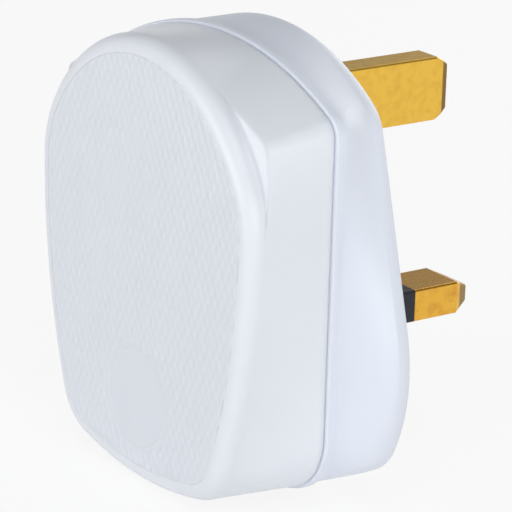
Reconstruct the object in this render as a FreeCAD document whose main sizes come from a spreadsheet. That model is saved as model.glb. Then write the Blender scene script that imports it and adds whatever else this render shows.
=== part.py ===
import FreeCAD, Part
import math
import os

import Sketcher
from FreeCAD import Vector

# Rewireable three-pin mains plug with a flat, egg-shaped rear face and flared finger grips.
# Frame: y = 0 on the engagement face with the pins along +Y, +Z up towards the earth pin,
# z = 0 on the axes of the line and neutral pins, +X on the line side seen from the cover.
# A depth is a distance from the engagement face back towards the cover, so y = -depth.

SIZES = {
    # Pins, to the dimensions of the plug standard
    "pin_pitch": 22.2,
    "earth_rise": 22.23,
    "blade_width": 6.35,
    "blade_thickness": 3.97,
    "blade_length": 17.7,
    "blade_tip_length": 2.0,
    "blade_tip_inset": 0.9,
    "earth_width": 3.97,
    "earth_height": 7.95,
    "earth_length": 22.73,
    "earth_tip_length": 1.86,
    "earth_tip_inset": 1.1,
    "earth_side_length": 0.98,
    "earth_side_inset": 0.43,
    "pin_edge_radius": 0.3,
    "pin_slot_clearance": 0.05,
    "sleeve_reach": 9.4,
    "sleeve_root": 2.0,
    "sleeve_wall": 0.6,
    # Outline where the cover meets the base
    "parting_crown_height": 32.6,
    "sole_drop": 20.9,
    "sole_radius": 50.0,
    "cover_half_width": 22.5,
    "shoulder_height": 25.0,
    "shoulder_radius": 2.6,
    "parting_sole_corner": 8.0,
    # Egg-shaped rear outline
    "rear_crown_height": 33.0,
    "rear_waist_height": 14.0,
    "rear_shoulder_radius": 14.0,
    "rear_side_radius": 84.0,
    "rear_sole_corner": 7.5,
    # Corner at the upper end of each side panel, and the slanting ledge behind it
    "panel_depth": 18.4,
    "panel_lean_radius": 28.0,
    "panel_corner_radius": 1.6,
    "panel_corner_height": 23.6,
    "crown_split": 7.5,
    "ledge_low_depth": 17.3,
    "ledge_slant": 6.1,
    "ledge_end": 9.0,
    "ledge_margin": 1.0,
    "ledge_tuck": 0.12,
    # Outline of the engagement face
    "face_crown_height": 33.2,
    "face_crown_excess": 3.5,
    "face_shoulder_radius": 6.0,
    "face_half_width": 27.0,
    "face_hip_drop": 3.5,
    "face_hip_radius": 22.0,
    "face_flare": 15.5,
    "face_sole_corner": 5.5,
    # Depths and edges of the two mouldings
    "body_depth": 20.4,
    "rim_radius": 1.85,
    "parting_depth": 9.3,
    "parting_edge_radius": 0.3,
    "parting_band": 0.5,
    "lip_depth": 1.0,
    "lip_proud": 0.35,
    "flange_depth": 2.4,
    "flange_radius": 1.9,
    "grip_low_depth": 6.9,
    "grip_low_swell": 0.12,
    "grip_high_depth": 4.5,
    "grip_high_swell": 0.7,
    "floor_depth": 4.5,
    "base_wall": 2.4,
    "base_cavity_corner": 3.0,
    "cover_wall": 2.0,
    "hollow_drop": 16.9,
    # Cord entry, shared by both mouldings
    "cord_entry_radius": 4.5,
    # Cover screw, its keeper washer and the threaded insert
    "screw_height": 9.0,
    "screw_radius": 2.0,
    "screw_head_radius": 3.6,
    "screw_head_height": 2.2,
    "screw_head_sink": 0.6,
    "screw_hole_radius": 2.15,
    "screw_recess_radius": 4.0,
    "screw_reach": 15.5,
    "slot_width": 1.0,
    "slot_depth": 1.0,
    "boss_radius": 4.4,
    "washer_radius": 3.8,
    "washer_thickness": 0.8,
    "insert_radius": 3.1,
    "insert_length": 6.0,
    "post_gap": 0.2,
    # Pillar terminals and their screws
    "pillar_width": 7.4,
    "pillar_height": 8.4,
    "pillar_depth": 8.6,
    "wire_hole_radius": 1.7,
    "terminal_screw_radius": 1.7,
    "terminal_head_radius": 2.7,
    "terminal_head_height": 1.8,
    "terminal_screw_length": 4.2,
    "thread_clearance": 0.05,
    # Cartridge fuse and its clips
    "fuse_length": 25.4,
    "fuse_radius": 3.175,
    "fuse_cap_length": 5.7,
    "fuse_cap_wall": 0.4,
    "fuse_bore_radius": 1.6,
    "fuse_wire_radius": 0.25,
    "fuse_drop": 8.0,
    "clip_thickness": 0.6,
    "clip_length": 4.6,
    "clip_mouth_angle": 50.0,
    "clip_foot_width": 5.2,
    "plate_thickness": 2.4,
    "line_terminal_gap": 1.2,
    "line_pillar_height": 6.4,
    "clip_clearance": 0.02,
    # Cord grip
    "grip_drop": 12.0,
    "grip_screw_pitch": 17.0,
    "grip_bar_length": 23.0,
    "grip_bar_width": 5.6,
    "grip_bar_thickness": 2.6,
    "grip_bar_corner": 1.2,
    "grip_post_radius": 2.9,
    "grip_post_rise": 2.6,
    "grip_screw_radius": 1.5,
    "grip_screw_length": 5.0,
    "grip_hole_clearance": 0.2,
    "grip_head_radius": 2.6,
    "grip_head_height": 1.7,
}


def ref(name):
    """Expression that reads one size from the sheet."""
    return f"Dims.{name}"


def blend(start, end, share):
    """Expression for a value that lies a share of the way from start to end."""
    return f"({start} + {share} * ({end} - {start}))"


def crown_radius(half_width, rise, corner):
    """Expression for the crown arc tangent to a corner arc and peaking a given rise above its centre."""
    return (
        f"((({half_width}) - ({corner})) ^ 2 + ({rise}) ^ 2 - ({corner}) ^ 2)"
        f" / (2 * (({rise}) - ({corner})))"
    )


def make_sheet(document):
    """Spreadsheet that holds every driving dimension under its own alias."""
    sheet = document.addObject("Spreadsheet::Sheet", "Dims")
    for row, (alias, value) in enumerate(SIZES.items(), start=1):
        sheet.set(f"A{row}", alias)
        sheet.set(f"B{row}", str(value))
        sheet.setAlias(f"B{row}", alias)
    document.recompute()
    return sheet


def origin_plane(body, role):
    """One of a body's own origin planes."""
    return next(f for f in body.Origin.OriginFeatures if f.Role == role)


def add_sketch(body, name, depth=None, role="XZ_Plane"):
    """Sketch on an origin plane; on XZ_Plane its normal points towards the cover, so depth offsets it."""
    sketch = body.newObject("Sketcher::SketchObject", name)
    sketch.AttachmentSupport = [(origin_plane(body, role), "")]
    sketch.MapMode = "FlatFace"
    if depth is not None:
        sketch.setExpression("AttachmentOffset.Base.z", depth)
    return sketch


def drive(sketch, expression, kind, *where):
    """Dimensional constraint whose value follows an expression."""
    value = sheet.evalExpression(expression)
    if kind == "Angle":
        value = math.radians(value)
    index = sketch.addConstraint(Sketcher.Constraint(kind, *where, float(value)))
    sketch.setExpression(f"Constraints[{index}]", expression)


def arc(centre, radius, start, end):
    """Counter-clockwise circular arc in sketch coordinates."""
    return Part.ArcOfCircle(Part.Circle(Vector(*centre, 0), Vector(0, 0, 1), radius), start, end)


def line(start, end):
    """Straight edge in sketch coordinates."""
    return Part.LineSegment(Vector(*start, 0), Vector(*end, 0))


def angle_to(point, centre):
    """Direction of a point seen from a centre."""
    return math.atan2(point[1] - centre[1], point[0] - centre[0])


def touching_centre(first, first_reach, second, second_reach):
    """Centre at given distances from two centres, on the right of the way from the second to the first."""
    dx = second[0] - first[0]
    dz = second[1] - first[1]
    gap = math.hypot(dx, dz)
    along = (first_reach ** 2 - second_reach ** 2 + gap ** 2) / (2 * gap)
    aside = math.sqrt(first_reach ** 2 - along ** 2)
    return (
        first[0] + (along * dx + aside * dz) / gap,
        first[1] + (along * dz - aside * dx) / gap,
    )


def half_outline(sketch, pieces):
    """Right half of a symmetrical outline.

    The pieces run counter-clockwise from the lowest point to the crown, each tangent to the next, and the
    axis edge closes the loop. The first and last pieces are arcs centred on the axis.
    """
    bottom = pieces[0].StartPoint
    top = pieces[-1].EndPoint
    first = sketch.addGeometry(pieces, False)[0]
    last = first + len(pieces) - 1
    axis = sketch.addGeometry(Part.LineSegment(top, bottom), False)
    for index in range(first, last):
        sketch.addConstraint(Sketcher.Constraint("Tangent", index, 2, index + 1, 1))
    sketch.addConstraint(Sketcher.Constraint("Coincident", last, 2, axis, 1))
    sketch.addConstraint(Sketcher.Constraint("Coincident", axis, 2, first, 1))
    for index, position in ((axis, 1), (axis, 2), (first, 3), (last, 3)):
        sketch.addConstraint(Sketcher.Constraint("PointOnObject", index, position, -2))


def drive_ends(sketch, crown, sizes):
    """Crown height, sole drop and sole radius, which every half outline has."""
    drive(sketch, sizes["top"], "DistanceY", -1, 1, crown, 2)
    drive(sketch, sizes["sole"], "DistanceY", 0, 1, -1, 1)
    drive(sketch, sizes["sole_radius"], "Radius", 0)
    drive(sketch, sizes["sole_corner"], "Radius", 1)


def numbers(sizes):
    """Values of a set of expressions."""
    return {name: float(sheet.evalExpression(text)) for name, text in sizes.items()}


def parting_sizes(grow="0"):
    """Sizes of the outline at the parting line, moved outwards by a distance."""
    return {
        "top": f"{ref('parting_crown_height')} + ({grow})",
        "sole": f"{ref('sole_drop')} + ({grow})",
        "sole_radius": f"{ref('sole_radius')} + ({grow})",
        "sole_corner": f"{ref('parting_sole_corner')} + ({grow})",
        "width": f"{ref('cover_half_width')} + ({grow})",
        "shoulder": ref("shoulder_height"),
        "corner": f"{ref('shoulder_radius')} + ({grow})",
    }


def draw_parting(sketch, sizes, side_split=None, crown_split=None):
    """Flat-sided outline with a broad crown; a split divides the side or crown to match another section."""
    n = numbers(sizes)
    rise = n["top"] - n["shoulder"]
    reach = n["width"] - n["corner"]
    crown = (reach ** 2 + rise ** 2 - n["corner"] ** 2) / (2 * (rise - n["corner"]))
    crown_centre = (0, n["top"] - crown)
    corner_centre = (reach, n["shoulder"])
    turn = angle_to(corner_centre, crown_centre)
    sole_centre = (0, n["sole_radius"] - n["sole"])
    inner = n["width"] - n["sole_corner"]
    sole_corner = (
        inner,
        sole_centre[1] - math.sqrt((n["sole_radius"] - n["sole_corner"]) ** 2 - inner ** 2),
    )
    leave = angle_to(sole_corner, sole_centre)
    pieces = [
        arc(sole_centre, n["sole_radius"], -math.pi / 2, leave),
        arc(sole_corner, n["sole_corner"], leave, 0),
    ]
    heights = [sole_corner[1], n["shoulder"]]
    if side_split:
        heights.insert(1, float(sheet.evalExpression(side_split)))
    pieces += [line((n["width"], a), (n["width"], b)) for a, b in zip(heights, heights[1:])]
    corner = len(pieces)
    pieces.append(arc(corner_centre, n["corner"], 0, turn))
    turns = [turn, math.pi / 2]
    if crown_split:
        turns.insert(1, math.acos(float(sheet.evalExpression(crown_split)) / crown))
    pieces += [arc(crown_centre, crown, a, b) for a, b in zip(turns, turns[1:])]
    half_outline(sketch, pieces)
    drive_ends(sketch, len(pieces) - 1, sizes)
    sketch.addConstraint(Sketcher.Constraint("Vertical", 2))
    drive(sketch, sizes["width"], "DistanceX", -1, 1, 2, 1)
    if side_split:
        drive(sketch, side_split, "DistanceY", -1, 1, 2, 2)
    drive(sketch, sizes["corner"], "Radius", corner)
    drive(sketch, sizes["shoulder"], "DistanceY", -1, 1, corner, 3)
    if crown_split:
        sketch.addConstraint(Sketcher.Constraint("Equal", corner + 1, corner + 2))
        drive(sketch, crown_split, "DistanceX", -1, 1, corner + 1, 2)


def rear_sizes(inset="0"):
    """Sizes of the egg-shaped rear outline, moved inwards by a distance."""
    return {
        "top": f"{ref('rear_crown_height')} - ({inset})",
        "sole": f"{ref('sole_drop')} - ({inset})",
        "sole_radius": f"{ref('sole_radius')} - ({inset})",
        "sole_corner": f"{ref('rear_sole_corner')} - ({inset})",
        "width": f"{ref('cover_half_width')} - ({inset})",
        "waist": ref("rear_waist_height"),
        "shoulder_radius": f"{ref('rear_shoulder_radius')} - ({inset})",
        "side_radius": f"{ref('rear_side_radius')} - ({inset})",
    }


def rear_lower_pieces(n):
    """Sole, lower corner and tapering side of the rear outline, up to its widest point."""
    sole_centre = (0, n["sole_radius"] - n["sole"])
    side_centre = (n["width"] - n["side_radius"], n["waist"])
    corner = touching_centre(
        side_centre, n["side_radius"] - n["sole_corner"], sole_centre, n["sole_radius"] - n["sole_corner"]
    )
    leave = angle_to(corner, sole_centre)
    join = angle_to(corner, side_centre)
    return [
        arc(sole_centre, n["sole_radius"], -math.pi / 2, leave),
        arc(corner, n["sole_corner"], leave, join),
        arc(side_centre, n["side_radius"], join, 0),
    ]


def drive_rear_side(sketch, sizes):
    """Tapering side: its radius, and its widest point where it stands upright."""
    drive(sketch, sizes["side_radius"], "Radius", 2)
    drive(sketch, sizes["width"], "DistanceX", -1, 1, 2, 2)
    drive(sketch, sizes["waist"], "DistanceY", -1, 1, 2, 2)


def draw_rear(sketch, sizes):
    """Egg-shaped outline: crown, shoulder, tapering side, lower corner and sole, all tangent arcs."""
    n = numbers(sizes)
    rise = n["top"] - n["waist"]
    reach = n["width"] - n["shoulder_radius"]
    crown = float(sheet.evalExpression(crown_radius(n["width"], rise, n["shoulder_radius"])))
    crown_centre = (0, n["top"] - crown)
    shoulder_centre = (reach, n["waist"])
    turn = angle_to(shoulder_centre, crown_centre)
    pieces = rear_lower_pieces(n)
    pieces.append(arc(shoulder_centre, n["shoulder_radius"], 0, turn))
    pieces.append(arc(crown_centre, crown, turn, math.pi / 2))
    half_outline(sketch, pieces)
    drive_ends(sketch, len(pieces) - 1, sizes)
    drive_rear_side(sketch, sizes)
    sketch.addConstraint(Sketcher.Constraint("Horizontal", 2, 3, 2, 2))
    drive(sketch, sizes["shoulder_radius"], "Radius", 3)


def draw_shoulder(sketch):
    """Rear outline with the cover's leaning upper corner left on it."""
    sizes = rear_sizes()
    rise = f"({sizes['top']}) - ({sizes['waist']})"
    sizes["crown"] = crown_radius(sizes["width"], rise, sizes["shoulder_radius"])
    sizes["lean"] = ref("panel_lean_radius")
    sizes["corner"] = ref("panel_corner_radius")
    sizes["shoulder"] = ref("panel_corner_height")
    n = numbers(sizes)
    crown_centre = (0, n["top"] - n["crown"])
    lean_centre = (n["width"] - n["lean"], n["waist"])
    lean_turn = math.asin((n["shoulder"] - n["waist"]) / (n["lean"] - n["corner"]))
    inner = n["lean"] - n["corner"]
    corner_centre = (lean_centre[0] + inner * math.cos(lean_turn), n["shoulder"])
    gap = math.dist(crown_centre, corner_centre)
    turn = angle_to(corner_centre, crown_centre) + math.acos((n["crown"] - n["corner"]) / gap)
    way = (math.cos(turn), math.sin(turn))
    slope_low = [c + n["corner"] * w for c, w in zip(corner_centre, way)]
    slope_high = [c + n["crown"] * w for c, w in zip(crown_centre, way)]
    pieces = rear_lower_pieces(n)
    pieces.append(arc(lean_centre, n["lean"], 0, lean_turn))
    pieces.append(arc(corner_centre, n["corner"], lean_turn, turn))
    pieces.append(line(slope_low, slope_high))
    pieces.append(arc(crown_centre, n["crown"], turn, math.pi / 2))
    half_outline(sketch, pieces)
    drive_ends(sketch, len(pieces) - 1, sizes)
    drive_rear_side(sketch, sizes)
    sketch.addConstraint(Sketcher.Constraint("Horizontal", 2, 3, 2, 2))
    drive(sketch, sizes["lean"], "Radius", 3)
    drive(sketch, sizes["corner"], "Radius", 4)
    drive(sketch, sizes["shoulder"], "DistanceY", -1, 1, 4, 3)
    drive(sketch, sizes["crown"], "Radius", 6)


def face_sizes(swell="1"):
    """Sizes of a base section, from the parting outline at no swell to the engagement face at full swell."""
    rise = f"{ref('parting_crown_height')} - {ref('shoulder_height')}"
    crown = crown_radius(ref("cover_half_width"), rise, ref("shoulder_radius"))
    return {
        "top": blend(ref("parting_crown_height"), ref("face_crown_height"), swell),
        "sole": ref("sole_drop"),
        "sole_radius": ref("sole_radius"),
        "sole_corner": blend(ref("parting_sole_corner"), ref("face_sole_corner"), swell),
        "crown": blend(crown, f"({ref('face_half_width')} + {ref('face_crown_excess')})", swell),
        "corner": blend(ref("shoulder_radius"), ref("face_shoulder_radius"), swell),
        "width": blend(ref("cover_half_width"), ref("face_half_width"), swell),
        "hip_drop": ref("face_hip_drop"),
        "hip_radius": f"{ref('face_hip_radius')} / ({swell})",
        "flare": f"{ref('face_flare')} * ({swell})",
    }


def draw_face(sketch, sizes):
    """Flared outline: crown, shoulder, straight side, hip, lower corner and sole."""
    n = numbers(sizes)
    flare = math.radians(n["flare"])
    out = (math.cos(flare), math.sin(flare))
    up = (-out[1], out[0])
    hip = (n["width"] - n["hip_radius"], -n["hip_drop"])
    side = hip[0] * out[0] + hip[1] * out[1] + n["hip_radius"]
    crown_centre = (0, n["top"] - n["crown"])
    inner = side - n["corner"]
    across = inner - crown_centre[1] * out[1]
    along = math.sqrt((n["crown"] - n["corner"]) ** 2 - across ** 2) + crown_centre[1] * out[0]
    corner_centre = (inner * out[0] + along * up[0], inner * out[1] + along * up[1])
    turn = angle_to(corner_centre, crown_centre)
    sole_centre = (0, n["sole_radius"] - n["sole"])
    sole_corner = touching_centre(
        hip, n["hip_radius"] - n["sole_corner"], sole_centre, n["sole_radius"] - n["sole_corner"]
    )
    leave = angle_to(sole_corner, sole_centre)
    join = angle_to(sole_corner, hip)
    side_low = [c + n["hip_radius"] * o for c, o in zip(hip, out)]
    side_high = [c + n["corner"] * o for c, o in zip(corner_centre, out)]
    pieces = [
        arc(sole_centre, n["sole_radius"], -math.pi / 2, leave),
        arc(sole_corner, n["sole_corner"], leave, join),
        arc(hip, n["hip_radius"], join, flare),
        line(side_low, side_high),
        arc(corner_centre, n["corner"], flare, turn),
        arc(crown_centre, n["crown"], turn, math.pi / 2),
    ]
    half_outline(sketch, pieces)
    drive_ends(sketch, len(pieces) - 1, sizes)
    drive(sketch, sizes["hip_radius"], "Radius", 2)
    drive(sketch, f"{sizes['width']} - {sizes['hip_radius']}", "DistanceX", -1, 1, 2, 3)
    drive(sketch, sizes["hip_drop"], "DistanceY", 2, 3, -1, 1)
    drive(sketch, f"90 + {sizes['flare']}", "Angle", 3)
    drive(sketch, sizes["corner"], "Radius", 4)
    drive(sketch, sizes["crown"], "Radius", 5)


def add_pad(body, sketch, length, towards_pins=False):
    """Pad along the sketch's normal, or against it."""
    pad = body.newObject("PartDesign::Pad", f"{sketch.Name}_pad")
    pad.Profile = sketch
    pad.setExpression("Length", length)
    pad.Reversed = towards_pins
    return pad


def add_pocket(body, sketch, length, along_normal=False):
    """Pocket against the sketch's normal, or along it."""
    pocket = body.newObject("PartDesign::Pocket", f"{sketch.Name}_pocket")
    pocket.Profile = sketch
    pocket.setExpression("Length", length)
    pocket.Reversed = along_normal
    return pocket


def add_loft(body, sketches, ruled):
    """Loft through sections in order."""
    loft = body.newObject("PartDesign::AdditiveLoft", f"{sketches[0].Name}_loft")
    loft.Profile = sketches[0]
    loft.Sections = sketches[1:]
    loft.Ruled = ruled
    return loft


def mirror(body, features):
    """Features repeated on the other side of the plug's middle plane."""
    copy = body.newObject("PartDesign::Mirrored", f"{features[-1].Name}_mirror")
    copy.Originals = features
    copy.MirrorPlane = (origin_plane(body, "YZ_Plane"), [""])
    body.Tip = copy
    document.recompute()
    return copy


def edges_at(feature, y):
    """Names of a feature's edges that lie in one plane across the plug's depth."""
    return [
        f"Edge{index}"
        for index, edge in enumerate(feature.Shape.Edges, start=1)
        if abs(edge.BoundBox.YMin - y) < 1e-4 and abs(edge.BoundBox.YMax - y) < 1e-4
    ]


def add_fillet(body, feature, y, radius):
    """Rounds every edge of a feature that lies at one depth."""
    document.recompute()
    fillet = body.newObject("PartDesign::Fillet", f"{feature.Name}_round")
    fillet.Base = (feature, edges_at(feature, y))
    fillet.setExpression("Radius", radius)
    document.recompute()
    return fillet


def depth_of(expression):
    """Coordinate along the pins of a depth."""
    return -float(sheet.evalExpression(expression))


def place_point(sketch, across, up, index, position):
    """Fixes a point by expressions, or on an axis where one is nought."""
    if across == "0":
        sketch.addConstraint(Sketcher.Constraint("PointOnObject", index, position, -2))
    else:
        drive(sketch, across, "DistanceX", -1, 1, index, position)
    if up == "0":
        sketch.addConstraint(Sketcher.Constraint("PointOnObject", index, position, -1))
    else:
        drive(sketch, up, "DistanceY", -1, 1, index, position)


def add_circle(sketch, across, up, radius):
    """Circle about a point given by expressions."""
    centre = (float(sheet.evalExpression(across)), float(sheet.evalExpression(up)))
    size = float(sheet.evalExpression(radius))
    index = sketch.addGeometry(Part.Circle(Vector(*centre, 0), Vector(0, 0, 1), size), False)
    place_point(sketch, across, up, index, 3)
    drive(sketch, radius, "Radius", index)


def add_box(sketch, across, up, width, height):
    """Rectangle about a point given by expressions."""
    middle = [float(sheet.evalExpression(text)) for text in (across, up)]
    half = [float(sheet.evalExpression(text)) / 2 for text in (width, height)]
    low = [m - h for m, h in zip(middle, half)]
    high = [m + h for m, h in zip(middle, half)]
    corners = [(low[0], low[1]), (high[0], low[1]), (high[0], high[1]), (low[0], high[1])]
    sides = [line(a, b) for a, b in zip(corners, corners[1:] + corners[:1])]
    first = sketch.addGeometry(sides, False)[0]
    for step in range(4):
        sketch.addConstraint(Sketcher.Constraint("Coincident", first + step, 2, first + (step + 1) % 4, 1))
    for step, kind in enumerate(("Horizontal", "Vertical", "Horizontal", "Vertical")):
        sketch.addConstraint(Sketcher.Constraint(kind, first + step))
    drive(sketch, width, "DistanceX", first, 1, first, 2)
    drive(sketch, height, "DistanceY", first + 1, 1, first + 1, 2)
    drive(sketch, f"({across}) - ({width}) / 2", "DistanceX", -1, 1, first, 1)
    drive(sketch, f"({up}) - ({height}) / 2", "DistanceY", -1, 1, first, 1)




def add_triangle(sketch, places):
    """Triangle through three points given by expressions."""
    corners = [[float(sheet.evalExpression(text)) for text in place] for place in places]
    sides = [line(a, b) for a, b in zip(corners, corners[1:] + corners[:1])]
    first = sketch.addGeometry(sides, False)[0]
    for step, place in enumerate(places):
        sketch.addConstraint(Sketcher.Constraint("Coincident", first + step, 2, first + (step + 1) % 3, 1))
        place_point(sketch, *place, first + step, 1)


def add_rounded_box(sketch, across, width, height, up, radius):
    """Rectangle with rounded corners about a point given by expressions."""
    middle = [float(sheet.evalExpression(text)) for text in (across, up)]
    half = [float(sheet.evalExpression(text)) / 2 for text in (width, height)]
    turn = float(sheet.evalExpression(radius))
    quarter = math.pi / 2
    pieces = []
    signs = [(1, 1), (-1, 1), (-1, -1), (1, -1)]
    centres = [[m + k * (h - turn) for m, h, k in zip(middle, half, sign)] for sign in signs]
    for step, centre in enumerate(centres):
        away = (step + 1) * quarter
        following = centres[(step + 1) % 4]
        shift = [turn * math.cos(away), turn * math.sin(away)]
        pieces.append(arc(centre, turn, step * quarter, away))
        ends = [[c + d for c, d in zip(point, shift)] for point in (centre, following)]
        pieces.append(line(*ends))
    first = sketch.addGeometry(pieces, False)[0]
    for step in range(8):
        sketch.addConstraint(Sketcher.Constraint("Tangent", first + step, 2, first + (step + 1) % 8, 1))
    for step in (0, 2, 4):
        sketch.addConstraint(Sketcher.Constraint("Equal", first + step, first + step + 2))
    sketch.addConstraint(Sketcher.Constraint("Horizontal", first + 1))
    drive(sketch, radius, "Radius", first)
    drive(sketch, f"({across}) + ({width}) / 2", "DistanceX", -1, 1, first + 7, 1)
    drive(sketch, f"({across}) - ({width}) / 2", "DistanceX", -1, 1, first + 3, 1)
    drive(sketch, f"({up}) + ({height}) / 2", "DistanceY", -1, 1, first + 1, 1)
    drive(sketch, f"({up}) - ({height}) / 2", "DistanceY", -1, 1, first + 5, 1)


def disc(body, name, depth, across, up, radius, length, towards_pins=False):
    """Round boss, shank or head along the pins' direction."""
    sketch = add_sketch(body, name, depth)
    add_circle(sketch, across, up, radius)
    return add_pad(body, sketch, length, towards_pins)


def hole(body, name, depth, across, up, radius, length, towards_cover=False):
    """Round hole along the pins' direction."""
    sketch = add_sketch(body, name, depth)
    add_circle(sketch, across, up, radius)
    return add_pocket(body, sketch, length, towards_cover)


def upright_disc(body, name, height, across, depth, radius, length):
    """Round bar that stands along Z from a height."""
    sketch = add_sketch(body, name, height, "XY_Plane")
    add_circle(sketch, across, f"-({depth})", radius)
    return add_pad(body, sketch, length)


def upright_hole(body, name, height, across, depth, radius, length):
    """Round hole along Z, upwards from a height."""
    sketch = add_sketch(body, name, height, "XY_Plane")
    add_circle(sketch, across, f"-({depth})", radius)
    return add_pocket(body, sketch, length, along_normal=True)


# Places that several pieces share
LINE_X = f"{ref('pin_pitch')} / 2"
NEUTRAL_X = f"-{ref('pin_pitch')} / 2"
PILLAR_TOP = f"{ref('floor_depth')} + {ref('pillar_depth')}"
WIRE_DEPTH = f"{ref('floor_depth')} + {ref('pillar_depth')} / 2"
PLATE_TOP = f"{ref('floor_depth')} + {ref('plate_thickness')}"
CLIP_BORE = f"{ref('fuse_radius')} + {ref('clip_clearance')}"
FUSE_DEPTH = f"{PLATE_TOP} + {ref('clip_thickness')} + {CLIP_BORE}"
FUSE_LOW = f"-{ref('fuse_drop')}"
FUSE_HIGH = f"{ref('fuse_length')} - {ref('fuse_drop')}"
FUSE_CORE = f"{ref('fuse_radius')} - {ref('fuse_cap_wall')}"
LINE_PILLAR_LOW = f"{FUSE_HIGH} + {ref('line_terminal_gap')}"
LINE_PILLAR_Z = f"{LINE_PILLAR_LOW} + {ref('line_pillar_height')} / 2"
BOSS_TOP = f"{ref('parting_depth')} - {ref('washer_thickness')}"
POST_END = f"{ref('parting_depth')} + {ref('post_gap')}"
COVER_FLOOR = f"{ref('body_depth')} - {ref('cover_wall')}"
GRIP_Z = f"-{ref('grip_drop')}"
GRIP_POST_TOP = f"{ref('floor_depth')} + {ref('grip_post_rise')}"
GRIP_BAR_TOP = f"{GRIP_POST_TOP} + {ref('grip_bar_thickness')}"
HEAD_SEAT = f"{ref('screw_head_sink')} + {ref('screw_head_height')}"
SOLE_WALL = f"({ref('sole_drop')} - {ref('hollow_drop')})"


def cut_cord_entry(body):
    """Round cord entry through the sole, half in each moulding, on the parting line."""
    start = f"-({ref('sole_drop')} + {SOLE_WALL})"
    length = f"{ref('sole_drop')} + {SOLE_WALL} - {ref('grip_drop')}"
    upright_hole(
        body, f"{body.Name}_entry", start, "0", ref("parting_depth"), ref("cord_entry_radius"), length
    )


def cut_ledge(body):
    """Slant of the ledge behind an upper corner, which falls away from the rear face towards the corner."""
    sizes = rear_sizes()
    rise = f"({sizes['top']}) - ({sizes['waist']})"
    crown = crown_radius(sizes["width"], rise, sizes["shoulder_radius"])
    top = f"({sizes['top']}) - ({crown}) + sqrt(({crown}) ^ 2 - {ref('ledge_end')} ^ 2)"
    sections = []
    for name, depth, shift in (
        ("cover_ledge_low", ref("ledge_low_depth"), ref("ledge_slant")),
        ("cover_ledge_high", ref("panel_depth"), ref("ledge_margin")),
    ):
        sketch = add_sketch(body, name, depth)
        add_triangle(
            sketch,
            [
                (f"{sizes['width']} + {shift}", sizes["waist"]),
                (f"2 * ({sizes['width']}) + {shift}", f"2 * ({sizes['top']}) - ({sizes['waist']})"),
                (f"{ref('ledge_end')} + {shift}", top),
            ],
        )
        sections.append(sketch)
    cut = body.newObject("PartDesign::SubtractiveLoft", "cover_ledge_cut")
    cut.Profile = sections[0]
    cut.Sections = sections[1:]
    cut.Ruled = True
    return cut


def make_cover():
    """Rear moulding: flat side panels, squared upper corners and an egg-shaped raised rear face."""
    body = document.addObject("PartDesign::Body", "cover")
    edge = add_sketch(body, "cover_edge", ref("parting_depth"))
    draw_parting(edge, parting_sizes())
    band = add_pad(body, edge, ref("parting_band"))
    parting = add_sketch(body, "cover_parting", f"{ref('parting_depth')} + {ref('parting_band')}")
    draw_parting(parting, parting_sizes(), ref("rear_waist_height"), ref("crown_split"))
    shoulder = add_sketch(body, "cover_shoulder", ref("panel_depth"))
    draw_shoulder(shoulder)
    wall = add_loft(body, [parting, shoulder], ruled=True)
    ledge = cut_ledge(body)
    neck = add_sketch(body, "cover_neck", ref("ledge_low_depth"))
    draw_rear(neck, rear_sizes(ref("ledge_tuck")))
    brow = add_sketch(body, "cover_brow", ref("panel_depth"))
    draw_rear(brow, rear_sizes())
    root = add_loft(body, [neck, brow], ruled=True)
    rear = add_sketch(body, "cover_rear", ref("panel_depth"))
    draw_rear(rear, rear_sizes())
    face = add_pad(body, rear, f"{ref('body_depth')} - {ref('panel_depth')}")
    document.recompute()
    whole = mirror(body, [band, wall, ledge, root, face])
    rim = add_fillet(body, whole, depth_of(ref("body_depth")), ref("rim_radius"))
    add_fillet(body, rim, depth_of(ref("parting_depth")), ref("parting_edge_radius"))

    sizes = rear_sizes(ref("cover_wall"))
    sizes["sole"] = ref("hollow_drop")
    sizes["sole_radius"] = f"{ref('sole_radius')} - {SOLE_WALL}"
    hollow = add_sketch(body, "cover_hollow", ref("parting_depth"))
    draw_rear(hollow, sizes)
    cavity = add_pocket(body, hollow, f"{COVER_FLOOR} - {ref('parting_depth')}", along_normal=True)
    document.recompute()
    mirror(body, [cavity])
    disc(body, "cover_post", COVER_FLOOR, "0", ref("screw_height"), ref("boss_radius"),
         f"{COVER_FLOOR} - ({POST_END})", towards_pins=True)
    hole(body, "cover_insert_seat", POST_END, "0", ref("screw_height"), ref("insert_radius"),
         ref("insert_length"), towards_cover=True)
    cut_cord_entry(body)


def make_base():
    """Pin side moulding: lip at the parting line, concave finger grips and a flared rim."""
    body = document.addObject("PartDesign::Body", "base")
    face = add_sketch(body, "base_face")
    draw_face(face, face_sizes())
    flange = add_pad(body, face, ref("flange_depth"))
    flare = add_sketch(body, "base_flare", ref("flange_depth"))
    draw_face(flare, face_sizes())
    high = add_sketch(body, "base_grip_high", ref("grip_high_depth"))
    draw_face(high, face_sizes(ref("grip_high_swell")))
    low = add_sketch(body, "base_grip_low", ref("grip_low_depth"))
    draw_face(low, face_sizes(ref("grip_low_swell")))
    lip_root = f"{ref('parting_depth')} - {ref('lip_depth')}"
    root = add_sketch(body, "base_grip_root", lip_root)
    draw_parting(root, parting_sizes(), f"-{ref('face_hip_drop')}")
    grip = add_loft(body, [flare, high, low, root], ruled=False)
    edge = add_sketch(body, "base_lip", lip_root)
    draw_parting(edge, parting_sizes(ref("lip_proud")))
    lip = add_pad(body, edge, ref("lip_depth"))
    document.recompute()
    whole = mirror(body, [flange, grip, lip])
    front = add_fillet(body, whole, 0.0, ref("flange_radius"))
    add_fillet(body, front, depth_of(ref("parting_depth")), ref("parting_edge_radius"))
    hollow_base(body)
    cut_cord_entry(body)


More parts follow.
